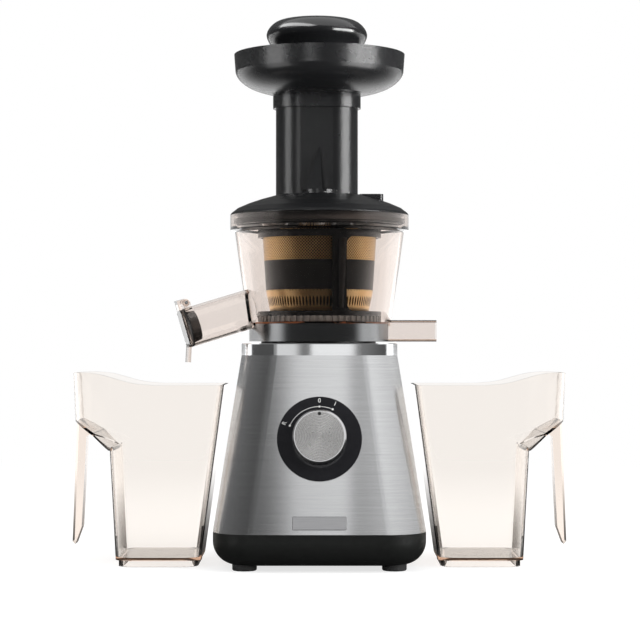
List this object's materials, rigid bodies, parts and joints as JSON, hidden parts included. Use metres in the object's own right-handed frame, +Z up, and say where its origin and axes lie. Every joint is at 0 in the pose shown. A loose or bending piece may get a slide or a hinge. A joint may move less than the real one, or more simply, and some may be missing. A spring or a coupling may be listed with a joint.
{
  "type": "cold press juicer",
  "caption": "Upright cold press juicer: brushed steel base with a round dial, clear juice bowl with spouts, black lid, feed tube and tray, and two clear jugs.",
  "frame": {"origin": "on the floor under the auger's axis, which is the middle of the base", "axes": "+Z up, -Y to the front with the dial, +X towards the pulp spout"},
  "size_m": [0.3706, 0.178, 0.4146],
  "materials": {
    "black_base": "satin",
    "foot_rubber": "matte",
    "screw_steel": "plain",
    "brushed_shell": "brushed level",
    "chrome_trim": "polished",
    "black_deck": "satin",
    "silicone_black": "soft",
    "dial_black": "gloss",
    "badge_steel": "satin",
    "switch_plastic": "matte",
    "shaft_steel": "ground",
    "knob_metal": "satin",
    "knob_spun": "spun",
    "marker_black": "matte",
    "board_green": "satin",
    "gland_rubber": "matte",
    "gearbox_grey": "matte",
    "bronze": "sintered",
    "motor_steel": "plated",
    "magnet_dark": "matte",
    "carbon": "matte",
    "gear_steel": "cut",
    "armature_iron": "laminated",
    "fan_plastic": "matte",
    "clear_bowl": "clear tinted",
    "satin_collar": "satin",
    "clear_tap": "clear tinted",
    "tap_silicone": "soft",
    "strainer_black": "satin",
    "gold_mesh": "perforated",
    "wiper_black": "satin",
    "blade_silicone": "soft",
    "ring_gear_grey": "satin",
    "auger_black": "satin",
    "lid_black": "gloss",
    "tray_black": "satin gloss",
    "pusher_black": "satin",
    "cap_black": "gloss",
    "clear_jug": "clear tinted"
  },
  "bodies": {
    "base": {"base_pan": "black_base", "rubber_feet": "foot_rubber", "base_screws": "screw_steel", "steel_shell": "brushed_shell", "chrome_ring": "chrome_trim", "top_deck": "black_deck", "shaft_seal": "silicone_black", "dial_ring": "dial_black", "badge_plate": "badge_steel", "rotary_switch": "switch_plastic", "control_board": "board_green", "cord_gland": "gland_rubber", "gearbox_lower": "gearbox_grey", "gearbox_upper": "gearbox_grey", "gearbox_screws": "screw_steel", "output_bearing": "bronze", "motor_can": "motor_steel", "motor_screws": "screw_steel", "motor_magnets": "magnet_dark", "motor_bushes": "bronze", "motor_brushes": "carbon"},
    "rotor": {"motor_shaft": "shaft_steel", "motor_pinion": "gear_steel", "armature": "armature_iron", "cooling_fan": "fan_plastic"},
    "compound": {"compound_arbor": "shaft_steel", "compound_gear": "gear_steel"},
    "drive": {"drive_shaft": "shaft_steel", "output_gear": "gear_steel"},
    "knob": {"switch_spindle": "shaft_steel", "knob_body": "knob_metal", "knob_face": "knob_spun", "knob_marker": "marker_black"},
    "bowl": {"juice_bowl": "clear_bowl", "bowl_skirt": "satin_collar", "bowl_seal": "silicone_black", "pulp_gate": "silicone_black", "idler_pin": "shaft_steel", "tap_pin": "shaft_steel", "strainer_frame": "strainer_black", "strainer_mesh": "gold_mesh"},
    "tap": {"tap_cap": "clear_tap", "tap_seal": "tap_silicone"},
    "wiper": {"wiper_frame": "wiper_black", "wiper_blades": "blade_silicone", "wiper_ring_gear": "ring_gear_grey"},
    "wiper_idler": {"wiper_idler_gear": "ring_gear_grey"},
    "auger_body": {"auger": "auger_black", "auger_socket": "shaft_steel", "auger_gear": "ring_gear_grey"},
    "lid_body": {"lid": "lid_black", "lid_gasket": "silicone_black", "auger_bearing": "bronze"},
    "tray": {"hopper_tray": "tray_black"},
    "pusher": {"pusher_stem": "pusher_black", "pusher_cap": "cap_black"},
    "left_jug": {"juice_jug": "clear_jug"},
    "right_jug": {"pulp_jug": "clear_jug"}
  },
  "joints": [
    {"name": "compound_spin", "type": "hinge", "parent": "base", "child": "compound", "pos_m": [0.02652, 0.02652, 0.108], "axis": [0, 0, 1], "continuous": true},
    {"name": "rotor_spin", "type": "hinge", "parent": "base", "child": "rotor", "pos_m": [-0.00731, 0.0142, 0.06], "axis": [0, 0, 1], "continuous": true},
    {"name": "drive_spin", "type": "hinge", "parent": "base", "child": "drive", "pos_m": [0, 0, 0.14], "axis": [0, 0, 1], "continuous": true},
    {"name": "auger_spin", "type": "hinge", "parent": "bowl", "child": "auger_body", "pos_m": [0, 0, 0.2], "axis": [0, 0, 1], "continuous": true},
    {"name": "wiper_idler_spin", "type": "hinge", "parent": "bowl", "child": "wiper_idler", "pos_m": [-0.02, 0, 0.183], "axis": [0, 0, 1], "continuous": true},
    {"name": "wiper_spin", "type": "hinge", "parent": "bowl", "child": "wiper", "pos_m": [0, 0, 0.2], "axis": [0, 0, 1], "continuous": true},
    {"name": "knob_turn", "type": "hinge", "parent": "base", "child": "knob", "pos_m": [0, -0.06713, 0.096], "axis": [0, -0.9878, 0.156], "range_deg": [-24, 66]},
    {"name": "tap_hinge", "type": "hinge", "parent": "bowl", "child": "tap", "pos_m": [-0.10018, -0.02967, 0.19507], "axis": [-0.284, 0.9588, 0], "range_deg": [0, 100]},
    {"name": "bowl_lift", "type": "slide", "parent": "base", "child": "bowl", "axis": [0, 0, 1], "range_m": [0, 0.06]},
    {"name": "lid_lift", "type": "slide", "parent": "bowl", "child": "lid_body", "axis": [0, 0, 1], "range_m": [0, 0.09]},
    {"name": "tray_lift", "type": "slide", "parent": "lid_body", "child": "tray", "axis": [0, 0, 1], "range_m": [0, 0.05]},
    {"name": "pusher_slide", "type": "slide", "parent": "tray", "child": "pusher", "axis": [0, 0, 1], "range_m": [0, 0.11]},
    {"name": "juice_jug_slide", "type": "slide", "parent": "base", "child": "left_jug", "axis": [-1, 0, 0], "range_m": [0, 0.12]},
    {"name": "pulp_jug_slide", "type": "slide", "parent": "base", "child": "right_jug", "axis": [1, 0, 0], "range_m": [0, 0.12]}
  ],
  "couplings": [
    {"joint": "rotor_spin", "follows": "compound_spin", "ratio": -5},
    {"joint": "drive_spin", "follows": "compound_spin", "ratio": -0.25},
    {"joint": "auger_spin", "follows": "compound_spin", "ratio": -0.25},
    {"joint": "wiper_idler_spin", "follows": "compound_spin", "ratio": 0.25},
    {"joint": "wiper_spin", "follows": "compound_spin", "ratio": 0.083333}
  ]
}
